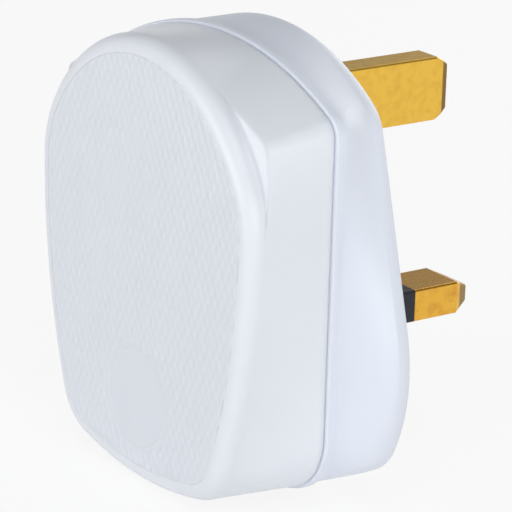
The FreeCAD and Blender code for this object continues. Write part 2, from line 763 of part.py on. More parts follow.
def hollow_base(body):
    """Cavity of the base with its screw boss, cord grip posts and pin slots."""
    sizes = parting_sizes(f"-{ref('base_wall')}")
    sizes["sole"] = ref("hollow_drop")
    sizes["sole_radius"] = f"{ref('sole_radius')} - {SOLE_WALL}"
    sizes["sole_corner"] = ref("base_cavity_corner")
    sizes["corner"] = ref("base_cavity_corner")
    sizes["shoulder"] = f"{ref('shoulder_height')} - {ref('base_cavity_corner')}"
    hollow = add_sketch(body, "base_hollow", ref("parting_depth"))
    draw_parting(hollow, sizes)
    cavity = add_pocket(body, hollow, f"{ref('parting_depth')} - {ref('floor_depth')}")
    document.recompute()
    mirror(body, [cavity])
    disc(body, "base_boss", ref("floor_depth"), "0", ref("screw_height"), ref("boss_radius"),
         f"{BOSS_TOP} - {ref('floor_depth')}")
    hole(body, "base_screw_hole", "0", "0", ref("screw_height"), ref("screw_hole_radius"),
         ref("parting_depth"), towards_cover=True)
    hole(body, "base_screw_recess", "0", "0", ref("screw_height"), ref("screw_recess_radius"),
         HEAD_SEAT, towards_cover=True)
    for side, across in GRIP_SCREW_PLACES.items():
        disc(body, f"base_grip_post_{side}", ref("floor_depth"), across, GRIP_Z, ref("grip_post_radius"),
             ref("grip_post_rise"))
        hole(body, f"base_grip_hole_{side}", GRIP_POST_TOP, across, GRIP_Z,
             f"{ref('grip_screw_radius')} + {ref('thread_clearance')}", ref("grip_post_rise"))
    for name, place in PIN_PLACES.items():
        slot = add_sketch(body, f"base_{name}_slot")
        width = f"{place['width']} + 2 * {ref('pin_slot_clearance')}"
        height = f"{place['height']} + 2 * {ref('pin_slot_clearance')}"
        add_rounded_box(slot, place["x"], width, height, place["z"], ref("pin_edge_radius"))
        add_pocket(body, slot, ref("floor_depth"), along_normal=True)


GRIP_SCREW_PLACES = {
    "line": f"{ref('grip_screw_pitch')} / 2",
    "neutral": f"-{ref('grip_screw_pitch')} / 2",
}

PIN_PLACES = {
    "line": {"x": LINE_X, "z": "0", "width": ref("blade_width"), "height": ref("blade_thickness")},
    "neutral": {"x": NEUTRAL_X, "z": "0", "width": ref("blade_width"), "height": ref("blade_thickness")},
    "earth": {"x": "0", "z": ref("earth_rise"), "width": ref("earth_width"), "height": ref("earth_height")},
}


def blade_section(body, name, depth, place, shrink=("0", "0")):
    """Rounded rectangular section of a pin, narrowed by two amounts in all."""
    sketch = add_sketch(body, name, depth)
    add_rounded_box(sketch, place["x"], f"{place['width']} - 2 * ({shrink[0]})",
                    f"{place['height']} - 2 * ({shrink[1]})", place["z"], ref("pin_edge_radius"))
    return sketch


def add_tip(body, place, length, tip_length, shrink):
    """Tapered end of a pin."""
    start = blade_section(body, f"{body.Name}_tip_root", f"-({length} - {tip_length})", place)
    end = blade_section(body, f"{body.Name}_tip_end", f"-{length}", place, shrink)
    add_loft(body, [start, end], ruled=True)


def add_sleeved_blade(body, place):
    """Flat pin with a neck under its sleeve."""
    neck = (ref("sleeve_wall"), ref("sleeve_wall"))
    root = blade_section(body, f"{body.Name}_root", ref("floor_depth"), place)
    add_pad(body, root, f"{ref('floor_depth')} - {ref('sleeve_root')}", towards_pins=True)
    waist = blade_section(body, f"{body.Name}_neck", ref("sleeve_root"), place, neck)
    add_pad(body, waist, f"{ref('sleeve_root')} + {ref('sleeve_reach')}", towards_pins=True)
    end = blade_section(body, f"{body.Name}_blade", f"-{ref('sleeve_reach')}", place)
    straight = f"{ref('blade_length')} - {ref('blade_tip_length')} - {ref('sleeve_reach')}"
    add_pad(body, end, straight, towards_pins=True)
    add_tip(body, place, ref("blade_length"), ref("blade_tip_length"),
            (ref("blade_tip_inset"), ref("blade_tip_inset")))


def add_pillar(body, across, up, width, height):
    """Terminal block on the base floor, with a threaded hole for its screw."""
    block = add_sketch(body, f"{body.Name}_pillar", ref("floor_depth"))
    add_box(block, across, up, width, height)
    add_pad(body, block, ref("pillar_depth"))
    hole(body, f"{body.Name}_thread", PILLAR_TOP, across, up,
         f"{ref('terminal_screw_radius')} + {ref('thread_clearance')}", ref("pillar_depth") + " / 2")


def make_earth_pin():
    """Long solid earth pin with its pillar terminal."""
    place = PIN_PLACES["earth"]
    body = document.addObject("PartDesign::Body", "earth_pin")
    add_pillar(body, place["x"], place["z"], ref("pillar_width"), ref("pillar_height"))
    root = blade_section(body, "earth_pin_root", ref("floor_depth"), place)
    straight = f"{ref('floor_depth')} + {ref('earth_length')} - {ref('earth_tip_length')}"
    add_pad(body, root, straight, towards_pins=True)
    start_depth = f"-({ref('earth_length')} - {ref('earth_tip_length')})"
    start = blade_section(body, "earth_pin_tip_root", start_depth, place)
    share = f"(1 - {ref('earth_side_length')} / {ref('earth_tip_length')})"
    bend = blade_section(
        body,
        "earth_pin_tip_bend",
        f"-({ref('earth_length')} - {ref('earth_side_length')})",
        place,
        ("0", f"{ref('earth_tip_inset')} * {share}"),
    )
    end = blade_section(
        body,
        "earth_pin_tip_end",
        f"-{ref('earth_length')}",
        place,
        (ref("earth_side_inset"), ref("earth_tip_inset")),
    )
    add_loft(body, [start, bend, end], ruled=True)
    hole_start = f"{place['z']} - {ref('pillar_height')}"
    upright_hole(body, "earth_pin_wire_hole", hole_start, place["x"], WIRE_DEPTH,
                 ref("wire_hole_radius"), f"2 * {ref('pillar_height')}")


def make_neutral_pin():
    """Neutral pin with its pillar terminal."""
    place = PIN_PLACES["neutral"]
    body = document.addObject("PartDesign::Body", "neutral_pin")
    add_pillar(body, place["x"], place["z"], ref("pillar_width"), ref("pillar_height"))
    add_sleeved_blade(body, place)
    upright_hole(body, "neutral_pin_wire_hole", f"-{ref('pillar_height')}", place["x"], WIRE_DEPTH,
                 ref("wire_hole_radius"), f"2 * {ref('pillar_height')}")


def make_line_pin():
    """Line pin whose head plate carries the lower fuse clip."""
    place = PIN_PLACES["line"]
    body = document.addObject("PartDesign::Body", "line_pin")
    plate = add_sketch(body, "line_pin_plate", ref("floor_depth"))
    add_box(plate, place["x"], f"({ref('blade_thickness')} - {ref('fuse_drop')}) / 2", ref("pillar_width"),
            f"{ref('fuse_drop')} + {ref('blade_thickness')}")
    add_pad(body, plate, ref("plate_thickness"))
    add_sleeved_blade(body, place)


def make_sleeve(side):
    """Insulating sleeve, flush with the pin's faces."""
    place = PIN_PLACES[side]
    body = document.addObject("PartDesign::Body", f"{side}_sleeve")
    length = f"{ref('sleeve_root')} + {ref('sleeve_reach')}"
    outer = blade_section(body, f"{side}_sleeve_outer", ref("sleeve_root"), place)
    add_pad(body, outer, length, towards_pins=True)
    inner = blade_section(body, f"{side}_sleeve_inner", ref("sleeve_root"), place,
                          (ref("sleeve_wall"), ref("sleeve_wall")))
    add_pocket(body, inner, length)


def make_line_terminal():
    """Pillar terminal whose foot carries the upper fuse clip."""
    body = document.addObject("PartDesign::Body", "line_terminal")
    add_pillar(body, LINE_X, LINE_PILLAR_Z, ref("pillar_width"), ref("line_pillar_height"))
    foot = add_sketch(body, "line_terminal_foot", ref("floor_depth"))
    length = f"{ref('fuse_cap_length')} + {ref('line_terminal_gap')}"
    add_box(foot, LINE_X, f"{LINE_PILLAR_LOW} - ({length}) / 2", ref("pillar_width"), length)
    add_pad(body, foot, ref("plate_thickness"))
    wire = add_sketch(body, "line_terminal_wire_hole", LINE_X, "YZ_Plane")
    add_circle(wire, f"-({WIRE_DEPTH})", LINE_PILLAR_Z, ref("wire_hole_radius"))
    add_pocket(body, wire, ref("pillar_width"))


def make_screw(name, places, seat, radius, length, head, head_towards_pins=False):
    """Slotted cheese-head screws seated at one depth; several places give a group of like screws."""
    body = document.addObject("PartDesign::Body", name)
    body.AllowCompound = True
    head_radius, head_height = head
    for side, (across, up) in places.items():
        disc(body, f"{name}_head_{side}", seat, across, up, head_radius, head_height, head_towards_pins)
        disc(body, f"{name}_shank_{side}", seat, across, up, radius, length, not head_towards_pins)
        way = "-" if head_towards_pins else "+"
        slot = add_sketch(body, f"{name}_slot_{side}", f"{seat} {way} {head_height}")
        add_box(slot, across, up, f"2 * {head_radius} + {ref('slot_width')}", ref("slot_width"))
        add_pocket(body, slot, ref("slot_depth"), along_normal=head_towards_pins)


def make_cover_screw():
    """Captive screw that enters through the engagement face and draws the cover on."""
    head = (ref("screw_head_radius"), ref("screw_head_height"))
    length = f"{ref('screw_reach')} - ({HEAD_SEAT})"
    places = {"middle": ("0", ref("screw_height"))}
    make_screw("cover_screw", places, HEAD_SEAT, ref("screw_radius"), length, head, head_towards_pins=True)


def make_terminal_screws():
    """Clamping screw of each pillar terminal."""
    head = (ref("terminal_head_radius"), ref("terminal_head_height"))
    places = {
        "earth": ("0", ref("earth_rise")),
        "neutral": (NEUTRAL_X, "0"),
        "line": (LINE_X, LINE_PILLAR_Z),
    }
    for side, place in places.items():
        make_screw(f"{side}_terminal_screw", {side: place}, PILLAR_TOP, ref("terminal_screw_radius"),
                   ref("terminal_screw_length"), head)


def make_ring(name, depth, radius, bore, length):
    """Round collar about the cover screw."""
    body = document.addObject("PartDesign::Body", name)
    disc(body, f"{name}_rim", depth, "0", ref("screw_height"), radius, length)
    hole(body, f"{name}_bore", depth, "0", ref("screw_height"), bore, length, towards_cover=True)


def make_fuse():
    """Cartridge fuse: tubular barrel, two end caps and the fuse wire between them."""
    barrel = document.addObject("PartDesign::Body", "fuse_barrel")
    start = f"{FUSE_LOW} + {ref('fuse_cap_wall')}"
    length = f"{ref('fuse_length')} - 2 * {ref('fuse_cap_wall')}"
    upright_disc(barrel, "fuse_barrel_outer", start, LINE_X, FUSE_DEPTH, FUSE_CORE, length)
    upright_hole(barrel, "fuse_barrel_bore", start, LINE_X, FUSE_DEPTH, ref("fuse_bore_radius"), length)
    wire = document.addObject("PartDesign::Body", "fuse_wire")
    upright_disc(wire, "fuse_wire_round", start, LINE_X, FUSE_DEPTH, ref("fuse_wire_radius"), length)
    cup = f"{ref('fuse_cap_length')} - {ref('fuse_cap_wall')}"
    caps = {
        "lower": (FUSE_LOW, start),
        "upper": (f"{FUSE_HIGH} - {ref('fuse_cap_length')}", f"{FUSE_HIGH} - {ref('fuse_cap_length')}"),
    }
    for end, (low, mouth) in caps.items():
        cap = document.addObject("PartDesign::Body", f"{end}_fuse_cap")
        upright_disc(cap, f"{end}_fuse_cap_outer", low, LINE_X, FUSE_DEPTH, ref("fuse_radius"),
                     ref("fuse_cap_length"))
        upright_hole(cap, f"{end}_fuse_cap_cup", mouth, LINE_X, FUSE_DEPTH, FUSE_CORE, cup)


def draw_clip(sketch):
    """Spring ring of a fuse clip, open towards the cover."""
    across, up = LINE_X, f"-({FUSE_DEPTH})"
    outer = f"{CLIP_BORE} + {ref('clip_thickness')}"
    centre = [float(sheet.evalExpression(text)) for text in (across, up)]
    bore, rim = [float(sheet.evalExpression(text)) for text in (CLIP_BORE, outer)]
    mouth = math.radians(float(sheet.evalExpression(ref("clip_mouth_angle"))))
    first, last = mouth - math.pi / 2, 3 * math.pi / 2 - mouth
    ends = [
        [(centre[0] + reach * math.cos(turn), centre[1] + reach * math.sin(turn)) for reach in (bore, rim)]
        for turn in (first, last)
    ]
    pieces = [arc(centre, rim, first, last), arc(centre, bore, first, last), line(*ends[0]), line(*ends[1])]
    sketch.addGeometry(pieces, False)
    for edge, end in ((2, 1), (3, 2)):
        sketch.addConstraint(Sketcher.Constraint("Coincident", 1, end, edge, 1))
        sketch.addConstraint(Sketcher.Constraint("Coincident", 0, end, edge, 2))
        sketch.addConstraint(Sketcher.Constraint("PointOnObject", 0, 3, edge))
    sketch.addConstraint(Sketcher.Constraint("Coincident", 0, 3, 1, 3))
    drive(sketch, across, "DistanceX", -1, 1, 0, 3)
    drive(sketch, up, "DistanceY", -1, 1, 0, 3)
    drive(sketch, outer, "Radius", 0)
    drive(sketch, CLIP_BORE, "Radius", 1)
    sketch.addConstraint(Sketcher.Constraint("Horizontal", 0, 1, 0, 2))
    drive(sketch, f"{up} - ({outer}) * cos({ref('clip_mouth_angle')} * 1 deg)", "DistanceY", -1, 1, 0, 1)


def make_clip(name, middle):
    """Sprung fuse clip with a flat foot on its plate."""
    body = document.addObject("PartDesign::Body", name)
    low = f"{middle} - {ref('clip_length')} / 2"
    foot = add_sketch(body, f"{name}_foot", PLATE_TOP)
    add_box(foot, LINE_X, middle, ref("clip_foot_width"), ref("clip_length"))
    add_pad(body, foot, ref("clip_thickness"))
    ring = add_sketch(body, f"{name}_ring", low, "XY_Plane")
    draw_clip(ring)
    add_pad(body, ring, ref("clip_length"))


def make_cord_grip():
    """Clamp bar over the cord, held by a pair of screws."""
    body = document.addObject("PartDesign::Body", "cord_grip_bar")
    bar = add_sketch(body, "cord_grip_bar_outline", GRIP_POST_TOP)
    add_rounded_box(bar, "0", ref("grip_bar_length"), ref("grip_bar_width"), GRIP_Z, ref("grip_bar_corner"))
    add_pad(body, bar, ref("grip_bar_thickness"))
    for side, across in GRIP_SCREW_PLACES.items():
        hole(body, f"cord_grip_bar_hole_{side}", GRIP_POST_TOP, across, GRIP_Z,
             f"{ref('grip_screw_radius')} + {ref('grip_hole_clearance')}", ref("grip_bar_thickness"),
             towards_cover=True)
    places = {side: (across, GRIP_Z) for side, across in GRIP_SCREW_PLACES.items()}
    head = (ref("grip_head_radius"), ref("grip_head_height"))
    radius, length = ref("grip_screw_radius"), ref("grip_screw_length")
    make_screw("cord_grip_screws", places, GRIP_BAR_TOP, radius, length, head)


def check_and_export():
    """Stops at any faulty object, then writes one file for each sub-part."""
    os.makedirs("parts", exist_ok=True)
    for item in document.Objects:
        if "Invalid" in item.State or "Error" in item.State:
            raise RuntimeError(f"{item.Name} did not build: {item.State}")
    for body in document.findObjects("PartDesign::Body"):
        if body.Shape.isNull() or not body.Shape.isValid() or not body.Shape.Solids:
            raise RuntimeError(f"{body.Label} has no valid solid")
        body.Shape.exportStep(os.path.join("parts", f"{body.Label}.step"))


document = FreeCAD.newDocument("plug")
sheet = make_sheet(document)
make_cover()
make_base()
make_earth_pin()
make_neutral_pin()
make_line_pin()
make_sleeve("line")
make_sleeve("neutral")
make_line_terminal()
make_terminal_screws()
make_fuse()
make_clip("lower_fuse_clip", f"{FUSE_LOW} + {ref('fuse_cap_length')} / 2")
make_clip("upper_fuse_clip", f"{FUSE_HIGH} - {ref('fuse_cap_length')} / 2")
make_cord_grip()
make_cover_screw()
make_ring("screw_keeper_washer", BOSS_TOP, ref("washer_radius"), ref("screw_hole_radius"),
          ref("washer_thickness"))
make_ring("cover_insert", POST_END, ref("insert_radius"),
          f"{ref('screw_radius')} + {ref('thread_clearance')}", ref("insert_length"))
document.recompute()
check_and_export()
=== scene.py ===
"""Dresses a white three pin plug, knurls its rear face and lights it in a plain studio."""

import logging
import math
from dataclasses import dataclass, field
from enum import Enum

import bpy
import numpy as np
from mathutils import Matrix, Vector


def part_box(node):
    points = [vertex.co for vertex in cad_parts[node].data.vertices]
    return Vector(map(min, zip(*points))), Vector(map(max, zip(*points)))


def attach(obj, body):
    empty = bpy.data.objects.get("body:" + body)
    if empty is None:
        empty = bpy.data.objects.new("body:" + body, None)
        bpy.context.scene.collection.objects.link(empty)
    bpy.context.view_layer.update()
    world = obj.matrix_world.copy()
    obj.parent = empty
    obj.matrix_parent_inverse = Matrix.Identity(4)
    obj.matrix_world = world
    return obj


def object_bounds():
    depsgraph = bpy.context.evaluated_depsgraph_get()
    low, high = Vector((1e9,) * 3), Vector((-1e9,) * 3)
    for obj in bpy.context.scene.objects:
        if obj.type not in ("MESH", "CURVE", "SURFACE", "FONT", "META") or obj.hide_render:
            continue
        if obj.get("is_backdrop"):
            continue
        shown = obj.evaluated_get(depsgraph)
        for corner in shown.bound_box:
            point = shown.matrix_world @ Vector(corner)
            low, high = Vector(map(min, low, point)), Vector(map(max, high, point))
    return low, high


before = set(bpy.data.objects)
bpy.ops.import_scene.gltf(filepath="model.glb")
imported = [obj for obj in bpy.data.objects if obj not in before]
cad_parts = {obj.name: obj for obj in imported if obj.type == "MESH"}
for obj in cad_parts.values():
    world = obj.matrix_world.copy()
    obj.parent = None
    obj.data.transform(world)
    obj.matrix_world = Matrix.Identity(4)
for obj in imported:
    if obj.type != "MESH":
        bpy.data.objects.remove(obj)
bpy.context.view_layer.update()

LOG = logging.getLogger("plug")
MM = 0.001
FLAT_TOLERANCE = 1e-6
HEIGHT_DIGITS = 7
BORDER = "border"
WHITE = (1.0, 1.0, 1.0, 1.0)

Colour = tuple[float, float, float]
Triple = tuple[float, float, float]
Feed = bpy.types.NodeSocket | float | tuple
Sockets = bpy.types.bpy_prop_collection


class Lay(Enum):
    """Which way the fine marks on a metal run, as waves per metre along X, Y and Z."""

    ALONG_PIN = (5200.0, 260.0, 5200.0)
    ACROSS_HEAD = (900.0, 5200.0, 5200.0)
    ALONG_SPRING = (5200.0, 5200.0, 500.0)
    EVEN = (2600.0, 2600.0, 2600.0)


class Effect(Enum):
    """The shared surface effects, each a shader node group of this name."""

    MOULDED_SKIN = "moulded_skin"
    HANDLED_METAL = "handled_metal"


class Sum(Enum):
    """The sums that a node works out, by the names that its operation takes."""

    TIMES = "MULTIPLY"
    TIMES_THEN_ADD = "MULTIPLY_ADD"
    LESS = "SUBTRACT"
    GREATER = "MAXIMUM"


@dataclass(frozen=True)
class Wiring:
    """Adds nodes to one node tree and joins them."""

    tree: bpy.types.NodeTree

    def add(self, kind: str) -> bpy.types.Node:
        """Adds a node of a kind."""
        return self.tree.nodes.new(kind)

    def feed(self, into: bpy.types.NodeSocket, value: Feed) -> None:
        """Links a socket into another, or sets a plain number or colour on it.

        Args:
            into: The socket that takes the value.
            value: The socket to link, or the number or colour to set.
        """
        if isinstance(value, bpy.types.NodeSocket):
            self.tree.links.new(value, into)
        else:
            into.default_value = value

    def noise(self, place: Feed, scale: Feed, detail: float, roughness: float = 0.5) -> Feed:
        """Adds a noise pattern.

        Args:
            place: The places that the pattern is read at.
            scale: Its waves per unit of place.
            detail: How many finer octaves it has.
            roughness: How strong the finer octaves are.

        Returns:
            The pattern, from 0 to 1 and mostly near a half.
        """
        pattern = self.add("ShaderNodeTexNoise")
        self.feed(pattern.inputs["Vector"], place)
        self.feed(pattern.inputs["Scale"], scale)
        self.feed(pattern.inputs["Detail"], detail)
        self.feed(pattern.inputs["Roughness"], roughness)
        return pattern.outputs["Fac"]

    def calc(self, kind: Sum, *values: Feed, clamped: bool = False) -> Feed:
        """Adds a sum of numbers.

        Args:
            kind: Which sum.
            values: Its two or three numbers, each a socket or a plain number.
            clamped: Whether the result is kept between 0 and 1.

        Returns:
            The result.
        """
        sum_node = self.add("ShaderNodeMath")
        sum_node.operation = kind.value
        sum_node.use_clamp = clamped
        for socket, value in zip(sum_node.inputs, values):
            self.feed(socket, value)
        return sum_node.outputs[0]

    def remap(self, value: Feed, low: float, high: float, start: Feed, end: Feed) -> Feed:
        """Adds a straight change of range, held at both ends.

        Args:
            value: The number to change.
            low: The number that gives the start.
            high: The number that gives the end.
            start: The result at the low number.
            end: The result at the high number.

        Returns:
            The result.
        """
        change = self.add("ShaderNodeMapRange")
        names = ("Value", "From Min", "From Max", "To Min", "To Max")
        for name, number in zip(names, (value, low, high, start, end)):
            self.feed(change.inputs[name], number)
        return change.outputs["Result"]

    def blend(self, share: Feed, first: Feed, second: Feed) -> Feed:
        """Adds a blend of two colours.

        Args:
            share: The share of the second colour.
            first: The first colour.
            second: The second colour.

        Returns:
            The blended colour.
        """
        mix = self.add("ShaderNodeMix")
        mix.data_type = "RGBA"
        colours = [socket for socket in mix.inputs if socket.type == "RGBA"]
        self.feed(mix.inputs[0], share)
        self.feed(colours[0], first)
        self.feed(colours[1], second)
        return next(socket for socket in mix.outputs if socket.type == "RGBA")

    def part_of(self, vector: Feed, axis: str) -> Feed:
        """Adds the reading of one axis of a vector.

        Args:
            vector: The vector.
            axis: The axis, named X, Y or Z.

        Returns:
            The number along that axis.
        """
        apart = self.add("ShaderNodeSeparateXYZ")
        self.feed(apart.inputs[0], vector)
        return apart.outputs[axis]


@dataclass
class EffectLibrary:
    """Builds each shared surface effect once and hands out its node group.

    Details are octaves of noise, and the blend into the painted shade of a tip is in metres.
    """

    cloud_detail: float = 3.0
    grain_detail: float = 4.0
    cloud_share: float = 0.5
    skin_low: float = 0.3
    skin_high: float = 0.7
    metal_detail: float = 5.0
    scratch_roughness: float = 0.62
    scratch_gain: float = 0.55
    scratch_offset: float = -0.14
    stain_roughness: float = 0.6
    stain_low: float = 0.42
    stain_high: float = 0.72
    tip_blend: float = 0.00025
    groups: dict[Effect, bpy.types.NodeTree] = field(default_factory=dict)

    def get(self, effect: Effect) -> bpy.types.NodeTree:
        """Gives the node group of an effect, building it on first use.

        Args:
            effect: The effect wanted.

        Returns:
            The shader node group.
        """
        if effect not in self.groups:
            makers = {
                Effect.MOULDED_SKIN: self.make_moulded_skin,
                Effect.HANDLED_METAL: self.make_handled_metal,
            }
            self.groups[effect] = makers[effect]()
        return self.groups[effect]

    @staticmethod
    def start(
        effect: Effect,
        colours: list[str],
        vectors: list[str],
        numbers: list[str],
    ) -> tuple[bpy.types.NodeTree, Sockets, Sockets]:
        """Opens a group with its named inputs and the outputs that every effect has.

        Args:
            effect: The effect that the group is for.
            colours: Names of the inputs that take a colour.
            vectors: Names of the inputs that take a vector.
            numbers: Names of the inputs that take a number.

        Returns:
            The group, its inputs by name as sockets, and its outputs by name as sockets.
        """
        group = bpy.data.node_groups.new(effect.value, "ShaderNodeTree")
        wanted = {
            "NodeSocketColor": colours,
            "NodeSocketVector": vectors,
            "NodeSocketFloat": numbers,
        }
        for kind, names in wanted.items():
            for name in names:
                group.interface.new_socket(name, in_out="INPUT", socket_type=kind)
        group.interface.new_socket("Colour", in_out="OUTPUT", socket_type="NodeSocketColor")
        for name in ("Roughness", "Height"):
            group.interface.new_socket(name, in_out="OUTPUT", socket_type="NodeSocketFloat")
        given = group.nodes.new("NodeGroupInput").outputs
        result = group.nodes.new("NodeGroupOutput").inputs
        return group, given, result

    def make_moulded_skin(self) -> bpy.types.NodeTree:
        """Builds the skin of a moulded or pressed piece.

        The colour drifts between two tones in broad clouds, fine grain makes the height, and the
        roughness follows the clouds and the grain together.

        Returns:
            The node group.
        """
        group, given, result = self.start(
            Effect.MOULDED_SKIN,
            ["Tone", "Shade"],
            [],
            ["Cloud Scale", "Grain Scale", "Smooth", "Rough"],
        )
        wiring = Wiring(group)
        place = wiring.add("ShaderNodeTexCoord").outputs["Object"]
        clouds = wiring.noise(place, given["Cloud Scale"], self.cloud_detail)
        grain = wiring.noise(place, given["Grain Scale"], self.grain_detail)
        grain_part = wiring.calc(Sum.TIMES, grain, 1.0 - self.cloud_share)
        both = wiring.calc(Sum.TIMES_THEN_ADD, clouds, self.cloud_share, grain_part)
        rough = wiring.remap(both, self.skin_low, self.skin_high, given["Smooth"], given["Rough"])
        wiring.feed(result["Colour"], wiring.blend(clouds, given["Tone"], given["Shade"]))
        wiring.feed(result["Roughness"], rough)
        wiring.feed(result["Height"], grain)
        return group

    def make_handled_metal(self) -> bpy.types.NodeTree:
        """Builds a metal that has been handled.

        Noise stretched along one direction makes fine scratches, and broad clouds of tarnish
        darken the colour and dull the shine. Past a set distance along Y the colour turns to a
        darker painted shade, which stands in for the dark that a pin's chamfered tip reflects.

        Returns:
            The node group.
        """
        group, given, result = self.start(
            Effect.HANDLED_METAL,
            ["Bright", "Tarnish", "Tip"],
            ["Stretch"],
            ["Tip Start", "Tarnish Scale", "Polished", "Dull"],
        )
        wiring = Wiring(group)
        place = wiring.add("ShaderNodeTexCoord").outputs["Object"]
        pull = wiring.add("ShaderNodeVectorMath")
        pull.operation = Sum.TIMES.value
        wiring.feed(pull.inputs[0], place)
        wiring.feed(pull.inputs[1], given["Stretch"])
        detail = self.metal_detail
        scratches = wiring.noise(pull.outputs[0], 1.0, detail, self.scratch_roughness)
        clouds = wiring.noise(place, given["Tarnish Scale"], detail, self.stain_roughness)
        stain = wiring.remap(clouds, self.stain_low, self.stain_high, 0.0, 1.0)
        marked = wiring.calc(
            Sum.TIMES_THEN_ADD, scratches, self.scratch_gain, self.scratch_offset, clamped=True
        )
        whole = wiring.calc(Sum.GREATER, stain, marked)
        # Past the tip's start the colour is a painted shade, for the dark that the chamfered tip
        # reflects.
        past = wiring.calc(Sum.LESS, wiring.part_of(place, "Y"), given["Tip Start"])
        tip_shade = wiring.remap(past, 0.0, self.tip_blend, 0.0, 1.0)
        tones = wiring.blend(whole, given["Bright"], given["Tarnish"])
        rough = wiring.remap(whole, 0.0, 1.0, given["Polished"], given["Dull"])
        wiring.feed(result["Colour"], wiring.blend(tip_shade, tones, given["Tip"]))
        wiring.feed(result["Roughness"], rough)
        wiring.feed(result["Height"], scratches)
        return group


EFFECTS = EffectLibrary()


def start_material(
    name: str,
    effect: Effect,
    bump: float,
) -> tuple[bpy.types.Material, Sockets, bpy.types.Node, bpy.types.Node]:
    """Opens a material whose Principled shader takes colour, roughness and bump from an effect.

    Args:
        name: The finish's name.
        effect: The shared effect.
        bump: The height of the relief, in metres.

    Returns:
        The material, the inputs of its effect, its relief node and its Principled shader.
    """
    material = bpy.data.materials.new(name)
    material.use_nodes = True
    wiring = Wiring(material.node_tree)
    shader = material.node_tree.nodes["Principled BSDF"]
    surface = wiring.add("ShaderNodeGroup")
    surface.node_tree = EFFECTS.get(effect)
    raised = wiring.add("ShaderNodeBump")
    wiring.feed(raised.inputs["Strength"], 1.0)
    wiring.feed(raised.inputs["Distance"], bump)
    wiring.feed(raised.inputs["Height"], surface.outputs["Height"])
    wiring.feed(shader.inputs["Base Color"], surface.outputs["Colour"])
    wiring.feed(shader.inputs["Roughness"], surface.outputs["Roughness"])
    wiring.feed(shader.inputs["Normal"], raised.outputs["Normal"])
    return material, surface.inputs, raised, shader


@dataclass(frozen=True)
class MouldedFinish:
    """A moulded, pressed or fired finish that is not metal.

    Tones are linear colours, scales are waves per metre, and relief and the edge's radius are
    in metres. An edge radius rounds the shading over the edges, under the relief.
    """

    name: str
    tone: Colour
    shade: Colour
    cloud_scale: float = 160.0
    grain_scale: float = 4200.0
    smooth: float = 0.3
    rough: float = 0.4
    relief: float = 0.000004
    sheen_level: float = 0.5
    edge_radius: float = 0.0
    edge_samples: int = 6

    def material(self) -> bpy.types.Material:
        """Builds the finish's material.

        Returns:
            The material.
        """
        opened = start_material(self.name, Effect.MOULDED_SKIN, self.relief)
        material, surface, raised, shader = opened
        surface["Tone"].default_value = (*self.tone, 1.0)
        surface["Shade"].default_value = (*self.shade, 1.0)
        surface["Cloud Scale"].default_value = self.cloud_scale
        surface["Grain Scale"].default_value = self.grain_scale
        surface["Smooth"].default_value = self.smooth
        surface["Rough"].default_value = self.rough
        shader.inputs["Specular IOR Level"].default_value = self.sheen_level
        if self.edge_radius:
            wiring = Wiring(material.node_tree)
            rounded = wiring.add("ShaderNodeBevel")
            rounded.samples = self.edge_samples
            wiring.feed(rounded.inputs["Radius"], self.edge_radius)
            wiring.feed(raised.inputs["Normal"], rounded.outputs["Normal"])
        return material


@dataclass(frozen=True)
class EdgeShadedFinish(MouldedFinish):
    """A moulded finish with painted shade in patches where a piece's border attribute is near 1,
    standing in for the shade of the panel's edge step.
    """

    # The grey of the painted shade along the border, and the noise that breaks it into patches.
    edge_shade: Colour = (0.56, 0.555, 0.54)
    edge_shade_scale: float = 520.0
    edge_shade_detail: float = 3.0
    edge_shade_low: float = 0.44
    edge_shade_high: float = 0.66

    def material(self) -> bpy.types.Material:
        """Builds the plain finish's material and mixes the painted edge shade into its colour.

        Returns:
            The material.
        """
        material = super().material()
        wiring = Wiring(material.node_tree)
        base_colour = material.node_tree.nodes["Principled BSDF"].inputs["Base Color"]
        unshaded = base_colour.links[0].from_socket
        # The border attribute times noise patches masks a painted shade, darker grey along the
        # panel's edge step.
        border = wiring.add("ShaderNodeAttribute")
        border.attribute_name = BORDER
        place = wiring.add("ShaderNodeTexCoord").outputs["Object"]
        cloud = wiring.noise(place, self.edge_shade_scale, self.edge_shade_detail)
        patches = wiring.remap(cloud, self.edge_shade_low, self.edge_shade_high, 0.0, 1.0)
        share = wiring.calc(Sum.TIMES, border.outputs["Fac"], patches)
        wiring.feed(base_colour, wiring.blend(share, unshaded, (*self.edge_shade, 1.0)))
        return material


@dataclass(frozen=True)
class MetalFinish:
    """A metal finish with scratches that lie one way and clouds of tarnish.

    A tip start, in metres along Y, puts a painted shade on all that lies past it, for the dark
    that a chamfered pin tip reflects.
    """

    name: str
    bright: Colour
    tarnish: Colour
    # The painted shade of a chamfered tip, darker than the brass itself.
    tip_shade: Colour = (0.3, 0.19, 0.05)
    tip_start: float = 1.0
    lay: Lay = Lay.EVEN
    tarnish_scale: float = 420.0
    polished: float = 0.22
    dull: float = 0.42
    relief: float = 0.000006

    def material(self) -> bpy.types.Material:
        """Builds the finish's material.

        Returns:
            The material.
        """
        opened = start_material(self.name, Effect.HANDLED_METAL, self.relief)
        material, surface, _, shader = opened
        surface["Bright"].default_value = (*self.bright, 1.0)
        surface["Tarnish"].default_value = (*self.tarnish, 1.0)
        surface["Tip"].default_value = (*self.tip_shade, 1.0)
        surface["Tip Start"].default_value = self.tip_start
        surface["Stretch"].default_value = self.lay.value
        surface["Tarnish Scale"].default_value = self.tarnish_scale
        surface["Polished"].default_value = self.polished
        surface["Dull"].default_value = self.dull
        shader.inputs["Metallic"].default_value = 1.0
        return material


def dress(material: bpy.types.Material, *nodes: str) -> None:
    """Gives solids of the frame their finish.

    Args:
        material: The finish.
        nodes: The names of the solids' nodes.
    """
    for node in nodes:
        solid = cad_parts[node]
        if not solid.material_slots:
            solid.data.materials.append(material)
        for slot in solid.material_slots:
            slot.material = material
        LOG.info("dressed %s in %s", node, material.name)


